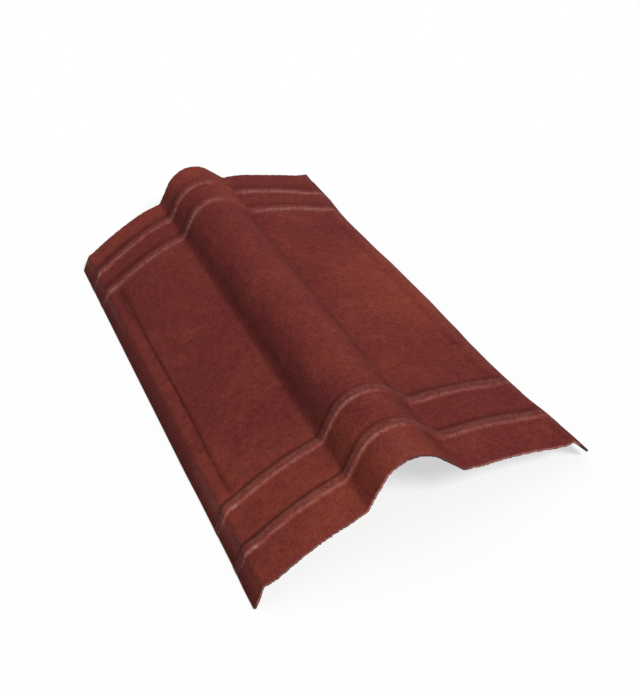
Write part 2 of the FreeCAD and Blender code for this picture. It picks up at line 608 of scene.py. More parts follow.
@dataclass(frozen=True)
class Section:
    """The sizes across the ridge, on the upper face, and the stretches that they leave over."""

    width: float = 0.485
    thickness: float = 0.003
    crown_radius: float = 0.055
    crown_rise: float = 0.0535
    flank_slope: float = 51.5
    valley_radius: float = 0.0125
    wing_start_slope: float = 8.0
    wing_end_slope: float = 25.5
    crease_radius: float = 0.007
    shoulder_slope: float = 14.0
    shoulder_width: float = 0.0215
    fold_radius: float = 0.010
    lip_slope: float = 57.0
    lip_width: float = 0.0355

    @staticmethod
    def _setback(radius: float, turn: float) -> float:
        """Return the length that a rounded corner takes from each of its straight sides."""
        return radius * math.tan(math.radians(abs(turn)) / 2)

    @staticmethod
    def _reach(radius: float, slope: float, new_slope: float) -> float:
        """Return how far a bend goes across."""
        return radius * abs(sine(new_slope) - sine(slope))

    @cached_property
    def half(self) -> float:
        """Half of the width."""
        return self.width / 2

    @cached_property
    def flank_length(self) -> float:
        """What is left of the crown's rise between its round top and the valley.

        Returns:
            The length of the straight flank.
        """
        top = self.crown_radius * (1 - cosine(self.flank_slope))
        valley = self.valley_radius * (cosine(self.wing_start_slope) - cosine(self.flank_slope))
        return (self.crown_rise - top - valley) / sine(self.flank_slope)

    @cached_property
    def fold_setback(self) -> float:
        """What the fold takes from the shoulder and from the lip."""
        return self._setback(self.fold_radius, self.lip_slope - self.shoulder_slope)

    @cached_property
    def shoulder_length(self) -> float:
        """The straight stretch between the crease and the fold."""
        crease_setback = self._setback(self.crease_radius, self.wing_end_slope - self.shoulder_slope)
        return self.shoulder_width - crease_setback - self.fold_setback

    @cached_property
    def lip_length(self) -> float:
        """The straight stretch between the fold and the lower edge."""
        return self.lip_width - self.fold_setback

    @cached_property
    def wing_radius(self) -> float:
        """The arch that makes a wing as wide as the rest of the section leaves it.

        Returns:
            The radius of the wing.
        """
        others = (
            self._reach(self.crown_radius, 0, self.flank_slope)
            + self.flank_length * cosine(self.flank_slope)
            + self._reach(self.valley_radius, self.flank_slope, self.wing_start_slope)
            + self._reach(self.crease_radius, self.wing_end_slope, self.shoulder_slope)
            + self.shoulder_length * cosine(self.shoulder_slope)
            + self._reach(self.fold_radius, self.shoulder_slope, self.lip_slope)
            + self.lip_length * cosine(self.lip_slope)
        )
        return (self.half - others) / (sine(self.wing_end_slope) - sine(self.wing_start_slope))

    @cached_property
    def fold_start(self) -> float:
        """How far from the ridge the fold of the lip begins."""
        fold = self._reach(self.fold_radius, self.shoulder_slope, self.lip_slope)
        return self.half - fold - self.lip_length * cosine(self.lip_slope)

    @cached_property
    def crease_at(self) -> float:
        """How far from the ridge the crease ends and the shoulder begins."""
        return self.fold_start - self.shoulder_length * cosine(self.shoulder_slope)

    def lip_share(self, across: float) -> float:
        """Return how far down the lip a place is, from 0 at the fold to 1 at its lower edge."""
        return smooth(across, self.fold_start, self.half - self.thickness)


@dataclass(frozen=True)
class RibMarks:
    """How pale and how dark the paint on a rib is.

    The pale line along its near side is part wear and part painted highlight, where that side faces the
    lamp; the dark band behind it is painted shade. A gain is what the right wing adds.
    The steps move the painted shade further back from one side of the sheet to the other.
    """

    line_wear_and_highlight: float
    line_gain: float
    line_width: float
    line_width_gain: float
    chafed_and_lit: float
    crest_wear: float
    crest_dirt: float
    least_shade: float
    outer_left_shade: float
    knee_shade: float
    shade_width: float
    shade_place: float
    shade_steps: tuple[Ramp, ...] = ()


@dataclass(frozen=True)
class Rib:
    """A rib pressed up from below, across the whole sheet, with a soft rear and a trough behind it."""

    marks: RibMarks
    crown_run: float
    trough_depth: float
    trough_place: float
    trough_width: float
    middle: float = 0.0
    height: float = 0.0035
    crest: float = 0.012
    side_run: float = 0.007
    rear_start: float = 0.0022
    rear_run: float = 0.012
    foot_radius: float = 0.002
    crest_radius: float = 0.0045
    on_crown: Ramp = Ramp(0.060, 0.020)

    @cached_property
    def reach(self) -> float:
        """Half of the rib's width at its feet."""
        return self.crest / 2 + self.side_run

    @cached_property
    def line_at(self) -> float:
        """The place of the pale line, half way down the near side."""
        return self.middle - self.crest / 2 - self.side_run / 2

    def rise(self, across: float, along: float) -> float:
        """Height of the rib at a place.

        Args:
            across: How far the place is from the middle of the crown.
            along: The place along the ridge.

        Returns:
            How far the face is pressed up there.
        """
        if along > self.middle:
            run = self.rear_run + self.crown_run * self.on_crown.at(across)
            return self.height * smooth(along - self.middle, self.rear_start + run, self.rear_start)
        away = self.middle - along
        if away >= self.reach:
            return 0.0
        if away <= self.crest / 2:
            return self.height
        radii = self.foot_radius + self.crest_radius
        straight = math.sqrt(self.side_run**2 + self.height**2 - 2 * self.height * radii)
        lean = math.atan2(self.height - radii, self.side_run) - math.atan2(-radii, straight)
        crest_end = self.crest / 2 + self.crest_radius * math.sin(lean)
        foot_start = self.reach - self.foot_radius * math.sin(lean)
        if away < crest_end:
            drop = math.sqrt(self.crest_radius**2 - (away - self.crest / 2) ** 2)
            return self.height - self.crest_radius + drop
        if away > foot_start:
            return self.foot_radius - math.sqrt(self.foot_radius**2 - (self.reach - away) ** 2)
        foot_rise = self.foot_radius * (1 - math.cos(lean))
        return foot_rise + (foot_start - away) * math.tan(lean)

    def trough(self, along: float) -> float:
        """Return how deep the face lies in the trough behind the rib."""
        away = along - self.middle - self.reach - self.trough_place
        return self.trough_depth * bump(away, self.trough_width)


NEAR_MARKS = RibMarks(
    line_wear_and_highlight=1.0,
    line_gain=-0.08,
    line_width=0.0018,
    line_width_gain=0.0003,
    chafed_and_lit=0.55,
    crest_wear=0.18,
    crest_dirt=0.15,
    least_shade=0.02,
    outer_left_shade=0.0,
    knee_shade=0.22,
    shade_width=0.0060,
    shade_place=0.0082,
    shade_steps=(Ramp(-0.07, 0.05, 0.0048), Ramp(0.13, 0.17, 0.0010)),
)
INNER_NEAR_MARKS = replace(
    NEAR_MARKS,
    knee_shade=0.34,
    shade_steps=NEAR_MARKS.shade_steps + (Ramp(-0.10, -0.06, 0.0015),),
)
INNER_FAR_MARKS = RibMarks(
    line_wear_and_highlight=0.75,
    line_gain=0.45,
    line_width=0.0034,
    line_width_gain=0.0010,
    chafed_and_lit=0.35,
    crest_wear=0.11,
    crest_dirt=0.04,
    least_shade=0.04,
    outer_left_shade=0.15,
    knee_shade=0.0,
    shade_width=0.0105,
    shade_place=0.0215,
)
FAR_MARKS = replace(INNER_FAR_MARKS, shade_place=0.0180)


@dataclass(frozen=True)
class SheetForm:
    """The true form of the cap: its section, its length and the ribs across it."""

    section: Section = Section()
    length: float = 1.0
    first_rib: float = 0.076
    rib_pitch: float = 0.086
    near_rib: Rib = Rib(
        NEAR_MARKS, crown_run=0.003, trough_depth=0.0003, trough_place=0.003, trough_width=0.005
    )
    far_rib: Rib = Rib(
        FAR_MARKS, crown_run=0.010, trough_depth=0.0010, trough_place=0.006, trough_width=0.009
    )

    @cached_property
    def half(self) -> float:
        """Half of the length."""
        return self.length / 2

    @cached_property
    def outer_rib(self) -> float:
        """How far the outer ribs are from the middle of the sheet."""
        return self.half - self.first_rib

    @cached_property
    def inner_rib(self) -> float:
        """How far the inner ribs are from the middle of the sheet."""
        return self.half - self.first_rib - self.rib_pitch

    @cached_property
    def ribs(self) -> tuple[Rib, ...]:
        """The four ribs.

        Returns:
            The ribs, from the near end to the far one.
        """
        return (
            replace(self.near_rib, middle=-self.outer_rib),
            replace(self.near_rib, middle=-self.inner_rib, marks=INNER_NEAR_MARKS),
            replace(self.far_rib, middle=self.inner_rib, marks=INNER_FAR_MARKS),
            replace(self.far_rib, middle=self.outer_rib),
        )


# How the sheet has weathered, where light and shade are painted on it, and how it lies


@dataclass(frozen=True)
class PaintMarks:
    """Where the paint is paler, from wear and painted highlights, and darker, from soiling and painted
    shade, from 0 for none to 1.
    """

    form: SheetForm

    # The pale line on the near side of each rib is part wear and part painted highlight, where that side
    # faces the lamp.
    line_wear_and_highlight: float = 0.355
    line_loss: Ramp = Ramp(-0.01, 0.01, 0.05)
    crown_left: Band = Band(-0.058, -0.048, -0.004, 0.004)
    crown_left_line: float = 0.15
    flank_right: Band = Band(0.020, 0.036, 0.070, 0.080)
    flank_right_loss: float = 0.9
    flank_right_crest: Streak = Streak(0.003, 0.007, 0.05)
    # Painted highlight with some wear where each rib's line crosses the left shoulder and fold.
    knee_width: float = 0.0145
    knee_highlight_and_wear: float = 0.27
    chafed_and_lit_spot: Streak = Streak(-0.2070, 0.0032)
    right_wing_line: Ramp = Ramp(0.066, 0.085)
    crest: Streak = Streak(-0.001, 0.0068)

    # Paler along both folds and along the near edge: part wear, part painted highlight.
    right_fold_highlight_and_wear: float = 0.11
    right_fold_width: float = 0.004
    right_fold_run: Ramp = Ramp(-0.42, -0.30)
    left_fold_highlight_and_wear: float = 0.18
    left_fold_width: float = 0.0040
    below_left_fold: float = 0.0095
    left_fold_run: Ramp = Ramp(0.17, 0.25)
    left_fold_loss: Ramp = Ramp(-0.41, -0.44, 0.7)
    near_edge_highlight_and_wear: float = 0.16
    near_edge_band: float = 0.004
    crown_end: Streak = Streak(-0.001, 0.016, 0.08)
    crown_end_run: Ramp = Ramp(-0.43, -0.46)

    # Painted shade in a band behind each rib, strongest on the left wing, which faces away from the lamp.
    left_rib_shade: Ramp = Ramp(0.0, -0.060, 0.38)
    right_rib_shade: Ramp = Ramp(0.066, 0.078, 0.34)
    outer_left: Ramp = Ramp(-0.11, -0.16)
    knee: Streak = Streak(-0.211, 0.009)

    # Painted shade in the valleys at the foot of the crown.
    left_valley: Streak = Streak(-0.0570, 0.0072, 0.44)
    left_valley_losses: tuple[Ramp, ...] = (
        Ramp(-0.315, -0.385, 0.55),
        Ramp(-0.40, -0.46, 0.30),
        Ramp(0.40, 0.46, 0.40),
    )
    right_valley_shade: float = 0.32
    right_valley_width: float = 0.0080
    right_valley_at: float = 0.056
    right_valley_shift: Ramp = Ramp(-0.30, 0.15, 0.006)
    right_valley_run: Ramp = Ramp(0.36, 0.29)

    # Painted shade in the creases: a thin uneven line on the left, fainter on the right and beyond the inner
    # ribs.
    crease_start: float = 0.030
    crease_stop: float = 0.008
    right_crease: Streak = Streak(0.003, 0.005, 0.10)
    left_crease_shade: float = 0.64
    left_crease_loss: float = 0.20
    left_crease_width: float = 0.0026
    left_crease_spread: float = 0.0050
    left_crease_spreads: Ramp = Ramp(0.13, 0.24)
    left_crease_curve: Curve = ((-0.28, 0.0014), (-0.05, -0.0013), (0.15, 0.0))
    left_crease_jitter: float = 40.0
    left_crease_seed: tuple[float, float] = (1.5, 6.2)
    left_crease_patchy: float = 0.20
    left_crease_stray: float = 0.0010
    end_crease: Streak = Streak(0.0, 0.006, 0.05)
    near_shoulder: Streak = Streak(0.013, 0.012, 0.15)
    near_shoulder_run: Ramp = Ramp(-0.34, -0.45)

    # Painted shade down the left lip, darker towards its lower edge, and at the near right corner.
    lip_shade: float = 0.50
    lip_shade_below_fold: float = 0.004
    lip_shade_lower: Ramp = Ramp(0.20, 0.30, 0.006)
    right_corner: Ramp = Ramp(0.222, 0.236, 0.60)
    right_corner_run: Ramp = Ramp(-0.36, -0.42)

    def wear_and_highlight(self, place: Vector) -> float:
        """How pale the paint is, from wear and painted highlights.

        Args:
            place: A place on the upper face.

        Returns:
            The wear and painted highlight on the near side of the ribs and at their knees, along the folds
            and at the near end, and the wear on the crests.
        """
        flank = self.flank_right.at(place.x)
        knee = bump(place.x + self.form.section.fold_start, self.knee_width)
        line = self.line_wear_and_highlight - self.line_loss.at(place.x)
        line += self.crown_left_line * self.crown_left.at(place.x) + self.knee_highlight_and_wear * knee
        line *= 1.0 - self.flank_right_loss * flank
        spot = self.chafed_and_lit_spot.at(place.x)
        right = self.right_wing_line.at(place.x)
        wear_and_highlight = self._fold_wear_and_highlight(place)
        # Painted highlight with some wear on each rib's near side, and wear on its crest.
        for rib in self.form.ribs:
            marks, away = rib.marks, place.y - rib.middle
            share = marks.line_wear_and_highlight + marks.line_gain * right
            width = marks.line_width + marks.line_width_gain * right
            on_line = share * (line + marks.chafed_and_lit * spot) * bump(place.y - rib.line_at, width)
            on_crest = marks.crest_wear * self.crest.at(away) + flank * self.flank_right_crest.at(away)
            wear_and_highlight = max(wear_and_highlight, on_line, on_crest)
        return wear_and_highlight

    def _fold_wear_and_highlight(self, place: Vector) -> float:
        """How pale the paint is away from the ribs.

        Args:
            place: A place on the upper face.

        Returns:
            Wear and painted highlight along both folds and along the near edge, and wear on the near end of
            the crown.
        """
        fold = self.form.section.fold_start
        right_fold = self.right_fold_highlight_and_wear * bump(place.x - fold, self.right_fold_width)
        left_fold = self.left_fold_highlight_and_wear * bump(place.x + fold + self.below_left_fold, self.left_fold_width)
        return max(
            right_fold * self.right_fold_run.at(place.y),
            left_fold * self.left_fold_run.at(abs(place.y)) * (1.0 - self.left_fold_loss.at(place.y)),
            self.near_edge_highlight_and_wear * smooth(place.y, -self.form.half + self.near_edge_band, -self.form.half),
            self.crown_end.at(place.x) * self.crown_end_run.at(place.y),
        )

    def shade_and_dirt(self, place: Vector) -> float:
        """How dark the paint is, from soiling and painted shade.

        Args:
            place: A place on the upper face.

        Returns:
            Painted shade in the creases and valleys, on the lips and behind each rib, and soiling on the rib
            crests.
        """
        sides = self.left_rib_shade.at(place.x) + self.right_rib_shade.at(place.x)
        outer_left = self.outer_left.at(place.x)
        knee = self.knee.at(place.x)
        darkening = max(self._crease(place), self.on_lip(place), self._valley(place))
        # Painted shade in a band behind each rib, and soiling on its crest.
        for rib in self.form.ribs:
            marks, away = rib.marks, place.y - rib.middle
            centre = marks.shade_place + sum(step.at(place.x) for step in marks.shade_steps)
            behind = marks.least_shade + sides + marks.outer_left_shade * outer_left + marks.knee_shade * knee
            behind *= bump(away - centre, marks.shade_width)
            darkening = max(darkening, behind, marks.crest_dirt * self.crest.at(away))
        return min(1.0, darkening)

    def _valley(self, place: Vector) -> float:
        """How much painted shade lies in the valleys.

        Args:
            place: A place on the upper face.

        Returns:
            The painted shade, thinner towards both ends.
        """
        if place.x < 0:
            losses = sum(loss.at(place.y) for loss in self.left_valley_losses)
            return (1.0 - losses) * self.left_valley.at(place.x)
        centre = self.right_valley_at + self.right_valley_shift.at(place.y)
        darkening = self.right_valley_shade * self.right_valley_run.at(place.y)
        return darkening * bump(place.x - centre, self.right_valley_width)

    def _crease(self, place: Vector) -> float:
        """How much painted shade lies in the creases.

        Args:
            place: A place on the upper face.

        Returns:
            The painted shade, in a thin uneven line on the left that spreads towards the far ribs.
        """
        away = abs(place.x) - self.form.section.crease_at
        inner = self.form.inner_rib
        between = smooth(abs(place.y), inner - self.crease_stop, inner - self.crease_start)
        if place.x > 0:
            return between * self.right_crease.at(away)
        spread = self.left_crease_spreads.at(place.y)
        first, last = self.left_crease_seed
        uneven = noise.noise(Vector((first, place.y * self.left_crease_jitter, last)))
        centre = eased(self.left_crease_curve, place.y) + self.left_crease_stray * uneven
        line = self.left_crease_shade + self.left_crease_patchy * uneven - self.left_crease_loss * spread
        line *= bump(away - centre, self.left_crease_width + self.left_crease_spread * spread)
        near_shoulder = self.near_shoulder_run.at(place.y) * self.near_shoulder.at(away)
        return max(line * between, (1.0 - between) * self.end_crease.at(away), near_shoulder)

    def on_lip(self, place: Vector) -> float:
        """How much painted shade lies on the lips.

        Args:
            place: A place on the sheet.

        Returns:
            The painted shade, towards the lower edge on the left and at the near corner on the right.
        """
        if place.x >= 0:
            return self.right_corner.at(place.x) * self.right_corner_run.at(place.y)
        section = self.form.section
        start = section.fold_start + self.lip_shade_below_fold + self.lip_shade_lower.at(abs(place.y))
        return self.lip_shade * smooth(-place.x, start, section.half)


@dataclass(frozen=True)
class Unevenness:
    """How the sheet lies: a corner up, a lip drawn in, edges and ribs not quite straight."""

    form: SheetForm

    stray_places: tuple[float, ...] = (-0.2425, -0.2275, -0.215, -0.185, -0.070, 0.000, 0.070, 0.125, 0.220)
    rib_strays: tuple[tuple[float, ...], ...] = (
        (0.0022, -0.0044, -0.0020, -0.0012, -0.0010, 0.0000, 0.0010, 0.0012, 0.0025),
        (-0.0008, -0.0045, 0.0010, 0.0012, 0.0003, 0.0008, 0.0052, 0.0066, 0.0105),
        (0.0105, 0.0010, 0.0010, 0.0038, 0.0050, 0.0030, 0.0035, -0.0025, -0.0110),
        (-0.0040, -0.0115, -0.0085, -0.0030, 0.0030, -0.0035, 0.0050, -0.0030, -0.0160),
    )
    stray_width: float = 0.032
    right_edge: Curve = (
        (-0.500, 0.0030),
        (-0.410, 0.0010),
        (-0.340, -0.0032),
        (-0.250, -0.0036),
        (-0.190, -0.0026),
        (-0.130, -0.0002),
        (0.000, 0.0030),
        (0.060, 0.0034),
        (0.200, 0.0000),
        (0.320, -0.0018),
        (0.420, 0.0020),
        (0.500, 0.0100),
    )
    lower_edge_limit: float = 0.0022
    left_edge: Curve = ((-0.480, 0.0000), (-0.400, 0.0011), (-0.280, 0.0009), (-0.180, 0.0000))
    outer_wing_start: float = 0.10

    drawn_in: float = 0.007
    left_flank: Band = Band(-0.100, -0.070, -0.020, 0.0)
    far_flank_shift: Ramp = Ramp(-0.4, 0.6, 0.004)
    lip_middle: float = 0.013
    lip_hollow_width: float = 0.008
    near_lip_hollow: Ramp = Ramp(0.90, 1.0, 0.0020)

    lifted_corner: float = 0.0115
    right_valley: Streak = Streak(0.079, 0.047)
    far_valley_lift: float = 0.007
    near_valley_sink: float = 0.0025
    far_left_lift: Streak = Streak(-0.095, 0.040, 0.0025)
    far_corner_sag: float = 0.005
    left_fold_width: float = 0.013
    far_fold_sag: Ramp = Ramp(0.88, 1.0, 0.0028)
    near_end_droop: Ramp = Ramp(0.86, 1.0, 0.0026)
    drooping_wing: Ramp = Ramp(0.070, 0.090)
    before_fold: float = 0.010
    past_fold: float = 0.006
    drooping_crown: Ramp = Ramp(0.055, 0.040, 0.5)

    @cached_property
    def _rib_curves(self) -> list[tuple[float, Curve]]:
        """The middle of each rib and the curve by which it strays."""
        curves = [tuple(zip(self.stray_places, strays)) for strays in self.rib_strays]
        return [(rib.middle, curve) for rib, curve in zip(self.form.ribs, curves)]

    def displace(self, place: Vector) -> None:
        """Move a point of the true form to where the sheet in the photograph has it.

        Args:
            place: The point, which is changed.
        """
        across, along = place.x, place.y / self.form.half
        strays = [
            eased(curve, across) * bump(place.y - middle, self.stray_width)
            for middle, curve in self._rib_curves
        ]
        place.y += sum(strays)
        place.x += self._sideways(across, place.y, along)
        place.z += self._upwards(across, along)

    def _sideways(self, across: float, strayed: float, along: float) -> float:
        """How far a point moves to the right.

        Args:
            across: Its place across the ridge.
            strayed: Its place along the ridge, after the ribs have strayed.
            along: Its place along the ridge before that, from -1 at the near end to 1 at the far one.

        Returns:
            The move.
        """
        section = self.form.section
        right = max(0.0, across / section.half)
        stray = eased(self.right_edge, strayed)
        share = section.lip_share(across)
        stray = stray * (1.0 - share) + min(stray, self.lower_edge_limit) * share
        hollow = bump(across + section.fold_start + self.lip_middle, self.lip_hollow_width)
        return (
            stray * smooth(across, self.outer_wing_start, section.fold_start)
            - self.drawn_in * right * (1.0 - along**2)
            + self.far_flank_shift.at(along) * self.left_flank.at(across)
            + eased(self.left_edge, strayed) * smooth(-across, self.outer_wing_start, section.fold_start)
            + self.near_lip_hollow.at(-along) * hollow
        )

    def _upwards(self, across: float, along: float) -> float:
        """How far a point moves up.

        Args:
            across: Its place across the ridge.
            along: Its place along the ridge, from -1 at the near end to 1 at the far one.

        Returns:
            The move, which spares the lower edges of the lips but for the lifted corner.
        """
        section = self.form.section
        right = max(0.0, across / section.half)
        far, near = max(0.0, along) ** 2, max(0.0, -along) ** 2
        off_lips = 1.0 - section.lip_share(abs(across))
        right_corner = off_lips * smooth(across, self.outer_wing_start, section.fold_start)
        left_fold = off_lips * bump(across + section.fold_start, self.left_fold_width)
        return (
            self.lifted_corner / 2 * right**3 * (1.0 - along)
            + self.right_valley.at(across) * (self.far_valley_lift * far - self.near_valley_sink * near)
            + self.far_left_lift.at(across) * far
            - self.far_corner_sag * right_corner * far**2
            - self.far_fold_sag.at(along) * left_fold
            - self._droop(abs(across), along)
        )

    def _droop(self, across: float, along: float) -> float:
        """How far the near end hangs: the wings most, the crown less, the valleys and lips not.

        Args:
            across: The place's distance from the ridge.
            along: Its place along the ridge, from -1 at the near end to 1 at the far one.

        Returns:
            The drop.
        """
        fold = self.form.section.fold_start
        off_lip = 1.0 - smooth(across, fold - self.before_fold, fold + self.past_fold)
        wing = off_lip * self.drooping_wing.at(across)
        return self.near_end_droop.at(-along) * max(wing, self.drooping_crown.at(across))


# The sheet


@dataclass
class SectionPen:
    """Walks down one side of the section and leaves a chain of edges behind."""

    mesh: bmesh.types.BMesh
    tip: bmesh.types.BMVert
    slope: float = 0.0

    def run(self, length: float, steps: int) -> None:
        """Go straight on.

        Args:
            length: How far.
            steps: How many edges the stretch gets.
        """
        step = Vector((cosine(self.slope), 0.0, -sine(self.slope))) * (length / steps)
        for _ in range(steps):
            self.tip = bmesh.ops.extrude_vert_indiv(self.mesh, verts=[self.tip])["verts"][0]
            bmesh.ops.translate(self.mesh, vec=step, verts=[self.tip])

    def bend(self, radius: float, new_slope: float, steps: int) -> None:
        """Turn to a new slope, downwards round a centre below or upwards round one above.

        Args:
            radius: Radius of the bend.
            new_slope: Slope at its end.
            steps: How many edges the bend gets.
        """
        turn = new_slope - self.slope
        side = math.copysign(radius, turn)
        centre = self.tip.co - Vector((sine(self.slope), 0.0, cosine(self.slope))) * side
        swept = bmesh.ops.spin(
            self.mesh,
            geom=[self.tip],
            cent=centre,
            axis=(0.0, 1.0, 0.0),
            dvec=(0.0, 0.0, 0.0),
            angle=math.radians(turn),
            steps=steps,
            use_merge=False,
            use_duplicate=False,
        )
        self.tip = next(item for item in swept["geom_last"] if isinstance(item, bmesh.types.BMVert))
        self.slope = new_slope


@dataclass
class RidgeSheet:
    """The whole cap: round crown, arched wings, shoulders, turned down lips and cross ribs."""

    form: SheetForm = SheetForm()

    crown_steps: int = 16
    flank_steps: int = 11
    valley_steps: int = 8
    wing_steps: int = 40
    crease_side_steps: int = 8
    crease_steps: int = 2
    shoulder_steps: int = 4
    fold_steps: int = 7
    lip_steps: int = 11
    crease_side: float = 0.008
    shoulder_start: float = 0.004

    end_band: float = 0.012
    end_step: float = 0.003
    plain_step: float = 0.0075
    middle_step: float = 0.011
    rib_step: float = 0.0013
    rib_margin: float = 0.001
    behind_step: float = 0.002
    behind_margin: float = 0.009

    rib_fade: float = 0.88
    right_fold_fade: float = 0.5
    right_fold_margin: float = 0.003
    groove_depth: float = 0.0008
    right_groove_share: float = 0.5
    groove: Streak = Streak(-0.0006, 0.0026)
    groove_start: float = 0.030
    groove_stop: float = 0.011
    soft_crease: Streak = Streak(0.0, 0.008, 0.0004)
    waviness: float = 0.0008
    mean_drop: float = 0.5
    slow_waves: Waves = Waves(9.0, 6.0, 3.1, 0.38)
    quick_waves: Waves = Waves(34.0, 30.0, 7.7, 0.12)

    ragged: float = 0.0022
    torn: float = 0.34
    coarse_tears: Tears = Tears(140.0, 5.0, 0.65)
    fine_tears: Tears = Tears(330.0, 9.0, 0.7)
    fine_tears_power: int = 6
    least_torn: float = 0.05
    lip_calm: float = 0.7
    end_cuts: int = 2
    faces_end: float = 0.5
    layer_cuts: int = 2
    layer_dents: float = 0.0010
    layer_dent_scale: float = 310.0
    # Painted shade along the bottom of the near cut end, across the crown.
    near_end_shade: Curve = (
        (-0.110, 0.30),
        (-0.055, 0.15),
        (-0.020, 0.20),
        (0.005, 0.40),
        (0.065, 0.40),
        (0.095, 0.00),
    )

    coated: CoatedBoard = CoatedBoard()
    bare: BareBoard = BareBoard()
    cut: CutBoard = CutBoard()
    paint_marks: PaintMarks = field(init=False)
    unevenness: Unevenness = field(init=False)

    def __post_init__(self) -> None:
        """Tie the paint's wear, soiling, painted highlights and painted shade, and the unevenness, to the
        sheet's form.
        """
        self.paint_marks = PaintMarks(self.form)
        self.unevenness = Unevenness(self.form)

    def draw_section(self, mesh: bmesh.types.BMesh) -> None:
        """Draw the section at the near end, crown at X = 0, and stand it on its lips.

        Args:
            mesh: The empty mesh that gets it.
        """
        section = self.form.section
        start = bmesh.ops.create_vert(mesh, co=(0.0, -self.form.half, 0.0))["vert"][0]
        pen = SectionPen(mesh, start)
        side_turn = math.degrees(self.crease_side / section.wing_radius)
        pen.bend(section.crown_radius, section.flank_slope, self.crown_steps)
        pen.run(section.flank_length, self.flank_steps)
        pen.bend(section.valley_radius, section.wing_start_slope, self.valley_steps)
        pen.bend(section.wing_radius, section.wing_end_slope - side_turn, self.wing_steps)
        pen.bend(section.wing_radius, section.wing_end_slope, self.crease_side_steps)
        pen.bend(section.crease_radius, section.shoulder_slope, self.crease_steps)
        pen.run(self.shoulder_start, self.shoulder_steps)
        pen.run(section.shoulder_length - self.shoulder_start, self.shoulder_steps)
        pen.bend(section.fold_radius, section.lip_slope, self.fold_steps)
        pen.run(section.lip_length, self.lip_steps)
        lowest = pen.tip.co.z - section.thickness * cosine(section.lip_slope)
        bmesh.ops.translate(mesh, vec=(0.0, 0.0, -lowest), verts=mesh.verts)
        drawn = mesh.verts[:] + mesh.edges[:]
        bmesh.ops.mirror(mesh, geom=drawn, matrix=Matrix(), merge_dist=TOUCHING, axis="X")

    def stations(self) -> list[float]:
        """Where the sheet has a row of vertices.

        Returns:
            The places along the ridge, close together on the ribs and at the ends.
        """
        half = self.form.half
        rows = rows_between(-half, -half + self.end_band, self.end_step)
        for rib in self.form.ribs:
            plain = self.middle_step if rib.middle > 0 > rows[-1] else self.plain_step
            rows += rows_between(rows[-1], rib.middle - rib.reach - self.rib_margin, plain)
            rows += rows_between(rows[-1], rib.middle + rib.reach + self.rib_margin, self.rib_step)
            rows += rows_between(rows[-1], rib.middle + rib.reach + self.behind_margin, self.behind_step)
        rows += rows_between(rows[-1], half - self.end_band, self.plain_step)
        return rows + rows_between(half - self.end_band, half, self.end_step)

    def draw_out(self, mesh: bmesh.types.BMesh) -> None:
        """Draw the section out along the ridge, one row of faces at a time.

        Args:
            mesh: The mesh that holds the section.
        """
        edges = mesh.edges[:]
        here = -self.form.half
        for station in self.stations():
            grown = bmesh.ops.extrude_edge_only(mesh, edges=edges)["geom"]
            fresh = {item for item in grown if isinstance(item, bmesh.types.BMVert)}
            bmesh.ops.translate(mesh, vec=(0.0, station - here, 0.0), verts=list(fresh))
            drawn = [item for item in grown if isinstance(item, bmesh.types.BMEdge)]
            edges = [edge for edge in drawn if edge.verts[0] in fresh and edge.verts[1] in fresh]
            here = station
        bmesh.ops.recalc_face_normals(mesh, faces=mesh.faces)
        if sum(face.normal.z for face in mesh.faces) < 0:
            bmesh.ops.reverse_faces(mesh, faces=mesh.faces)
        mesh.normal_update()

    def press(self, mesh: bmesh.types.BMesh) -> None:
        """Press the ribs up, cut the crease in, leave the face a little wavy, and store its wear, soiling,
        painted highlights and painted shade.

        Args:
            mesh: The plain sheet.
        """
        worn = mesh.verts.layers.float.new(Layer.WORN_AND_LIT.value)
        grime = mesh.verts.layers.float.new(Layer.GRIME_AND_SHADE.value)
        mesh.verts.layers.float.new(Layer.DEPTH.value)
        moves = []
        for vert in mesh.verts:
            sunk = self._waves(vert.co) + sum(rib.trough(vert.co.y) for rib in self.form.ribs)
            sunk *= 1.0 - self.form.section.lip_share(abs(vert.co.x))
            vert[worn] = self.paint_marks.wear_and_highlight(vert.co)
            vert[grime] = self.paint_marks.shade_and_dirt(vert.co)
            moves.append(vert.normal * (self._rib_lift(vert.co) + self._crease(vert.co) - sunk))
        for vert, move in zip(mesh.verts, moves):
            vert.co += move

    def _rib_lift(self, place: Vector) -> float:
        """How far the ribs lift the face.

        Args:
            place: A place on the plain sheet.

        Returns:
            The rise, less where the ribs run out over the right fold and down the lips.
        """
        section, across = self.form.section, abs(place.x)
        right_fold = smooth(place.x, section.crease_at, section.fold_start + self.right_fold_margin)
        fade = (1.0 - self.rib_fade * section.lip_share(across)) * (1.0 - self.right_fold_fade * right_fold)
        return fade * sum(rib.rise(across, place.y) for rib in self.form.ribs)

    def _crease(self, place: Vector) -> float:
        """How the face rises at the crease.

        Args:
            place: A place on the plain sheet.

        Returns:
            The rise: a groove between the inner ribs, and a soft swelling beyond them.
        """
        away = abs(place.x) - self.form.section.crease_at
        inner = self.form.inner_rib
        between = smooth(abs(place.y), inner - self.groove_stop, inner - self.groove_start)
        depth = self.groove_depth * (self.right_groove_share if place.x > 0 else 1.0)
        return self.soft_crease.at(away) * (1.0 - between) - depth * self.groove.at(away) * between

    def _waves(self, place: Vector) -> float:
        """Return how far the face lies below its true shape, by slow and quick waves."""
        return self.waviness * (self.mean_drop + self.slow_waves.at(place) + self.quick_waves.at(place))

